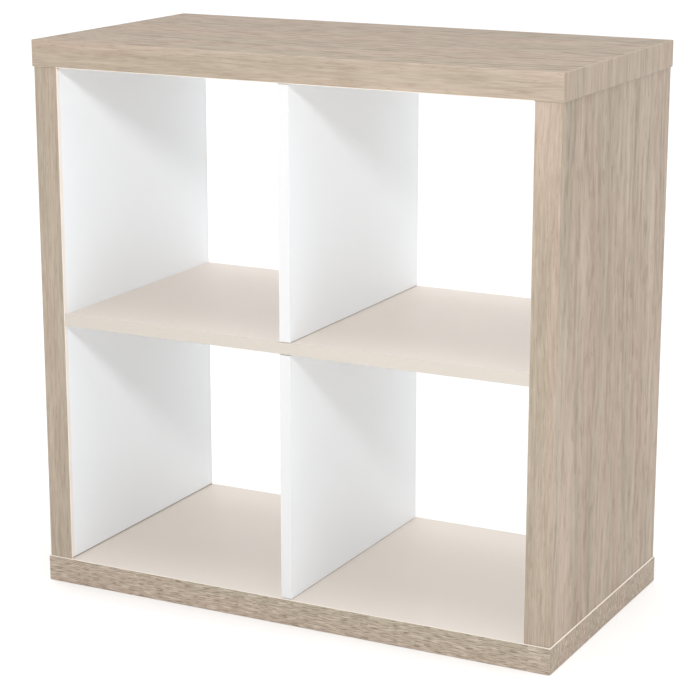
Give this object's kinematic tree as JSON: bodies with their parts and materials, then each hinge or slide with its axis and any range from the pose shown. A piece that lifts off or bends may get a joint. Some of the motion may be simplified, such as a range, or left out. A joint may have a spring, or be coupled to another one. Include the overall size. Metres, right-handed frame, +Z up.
{
  "type": "cube storage unit",
  "caption": "Open cube storage unit: thick oak-effect case, full-width shelf and short white partitions make square compartments open at front and back.",
  "frame": {"origin": "on the floor, under the middle of the unit", "axes": "+X to the right seen from the front, -Y to the front, +Z up"},
  "size_m": [0.765, 0.39, 0.765],
  "materials": {
    "oak_foil": "matt printed foil, pale white-stained oak, fine grain relief",
    "oak_edging": "matt printed edging, pale white-stained oak",
    "white_foil": "satin white foil",
    "white_edging": "satin white edging",
    "beige_foil": "satin warm beige foil",
    "beige_edging": "satin warm beige edging",
    "chipboard": "raw pressed wood chips",
    "honeycomb_paper": "raw kraft paper",
    "beech": "raw turned beech",
    "screw_steel": "bright zinc-plated steel"
  },
  "bodies": {
    "root": {"top_outer_skin": "oak_foil", "top_inner_skin": "beige_foil", "top_frame": "chipboard", "top_honeycomb": "honeycomb_paper", "top_edge_band": "oak_edging", "bottom_outer_skin": "oak_foil", "bottom_inner_skin": "beige_foil", "bottom_frame": "chipboard", "bottom_honeycomb": "honeycomb_paper", "bottom_edge_band": "oak_edging", "left_side_outer_skin": "oak_foil", "left_side_inner_skin": "white_foil", "left_side_frame": "chipboard", "left_side_honeycomb": "honeycomb_paper", "left_side_front_band": "oak_edging", "left_side_rear_band": "oak_edging", "right_side_outer_skin": "oak_foil", "right_side_inner_skin": "white_foil", "right_side_frame": "chipboard", "right_side_honeycomb": "honeycomb_paper", "right_side_front_band": "oak_edging", "right_side_rear_band": "oak_edging", "shelf_board": "beige_foil", "shelf_front_band": "beige_edging", "shelf_rear_band": "beige_edging", "upper_partition_board": "white_foil", "upper_partition_front_band": "white_edging", "upper_partition_rear_band": "white_edging", "lower_partition_board": "white_foil", "lower_partition_front_band": "white_edging", "lower_partition_rear_band": "white_edging", "top_screw_left_front": "screw_steel", "screw_cap_left_front": "oak_foil", "bottom_screw_left_front": "screw_steel", "shelf_dowel_left_front": "beech", "top_screw_left_rear": "screw_steel", "screw_cap_left_rear": "oak_foil", "bottom_screw_left_rear": "screw_steel", "shelf_dowel_left_rear": "beech", "corner_dowel_top_left": "beech", "corner_dowel_bottom_left": "beech", "top_screw_right_front": "screw_steel", "screw_cap_right_front": "oak_foil", "bottom_screw_right_front": "screw_steel", "shelf_dowel_right_front": "beech", "top_screw_right_rear": "screw_steel", "screw_cap_right_rear": "oak_foil", "bottom_screw_right_rear": "screw_steel", "shelf_dowel_right_rear": "beech", "corner_dowel_top_right": "beech", "corner_dowel_bottom_right": "beech", "partition_dowel_top_front": "beech", "partition_dowel_bottom_front": "beech", "centre_dowel_front": "beech", "partition_dowel_top_rear": "beech", "partition_dowel_bottom_rear": "beech", "centre_dowel_rear": "beech"}
  },
  "joints": []
}
